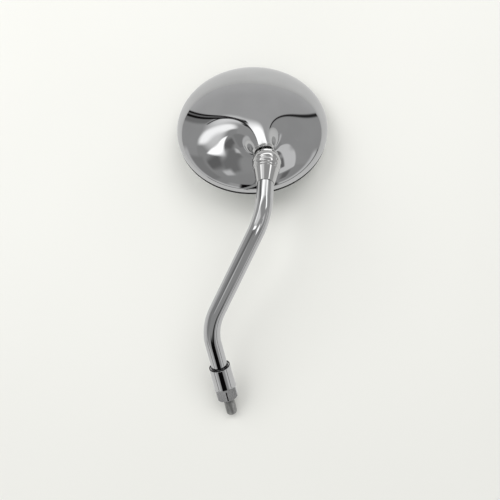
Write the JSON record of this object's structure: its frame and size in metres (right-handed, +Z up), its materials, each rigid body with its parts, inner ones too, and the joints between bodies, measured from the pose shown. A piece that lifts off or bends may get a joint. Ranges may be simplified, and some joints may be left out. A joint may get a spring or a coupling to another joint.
{
  "type": "motorcycle mirror",
  "caption": "Round rear-view mirror with a chromed dished back, a twice bent stem, a ball joint at the head and a threaded stud with a sleeve lock nut.",
  "frame": {"origin": "on the stud's axis at the lock nut's lower face", "axes": "+Z up along the stud and the stem's foot, +Y towards the side the glass faces, +X towards the side the stem leans to"},
  "size_m": [0.1432, 0.1414, 0.2398],
  "materials": {
    "chrome_shell": "polished",
    "chrome_stem": "polished",
    "chrome_collar": "polished",
    "chrome_nut": "satin on the flats",
    "stud_steel": "dull zinc",
    "spring_steel": "blued",
    "seat_steel": "turned",
    "bright_steel": "ground",
    "zinc_steel": "zinc plated",
    "nylon": "moulded",
    "black_rubber": "matt",
    "mirror": "silvered",
    "felt": "felt"
  },
  "bodies": {
    "stem": {"stem_tube": "chrome_stem", "threaded_stud": "stud_steel", "socket_collar": "chrome_collar", "spring_washers": "spring_steel", "ring_nut": "chrome_collar"},
    "seats": {"lower_seat": "seat_steel", "upper_seat": "seat_steel"},
    "liner": {"ball_liner": "nylon"},
    "head": {"ball_stud": "bright_steel", "neck_ferrule": "chrome_collar", "neck_insert": "seat_steel", "stud_washer": "zinc_steel", "stud_nut": "zinc_steel", "head_shell": "chrome_shell", "rim_gasket": "black_rubber", "mirror_glass": "mirror", "felt_pad": "felt", "backing_plate": "zinc_steel"},
    "ring": {"nut_ring": "black_rubber"},
    "nut": {"lock_nut": "chrome_nut"}
  },
  "joints": [
    {"name": "head_swivel", "type": "hinge", "parent": "stem", "child": "seats", "pos_m": [0.07047, 0.03356, 0.15614], "axis": [0.3295, 0.6554, 0.6796], "continuous": true},
    {"name": "head_tilt", "type": "hinge", "parent": "seats", "child": "liner", "pos_m": [0.07047, 0.03356, 0.15614], "axis": [0.0955, -0.7392, 0.6666], "range_deg": [-35, 4]},
    {"name": "head_spin", "type": "hinge", "parent": "liner", "child": "head", "pos_m": [0.07047, 0.03356, 0.15614], "axis": [0.0645, 0.6729, 0.7369], "continuous": true},
    {"name": "ring_slide", "type": "slide", "parent": "stem", "child": "ring", "axis": [0, 0, 1], "range_m": [0, 0.01]},
    {"name": "nut_turn", "type": "hinge", "parent": "ring", "child": "nut", "pos_m": [0, 0, 0], "axis": [0, 0, 1], "range_deg": [0, 2880]}
  ],
  "couplings": [
    {"joint": "nut_turn", "follows": "ring_slide", "rad_per_m": 5026.5}
  ]
}
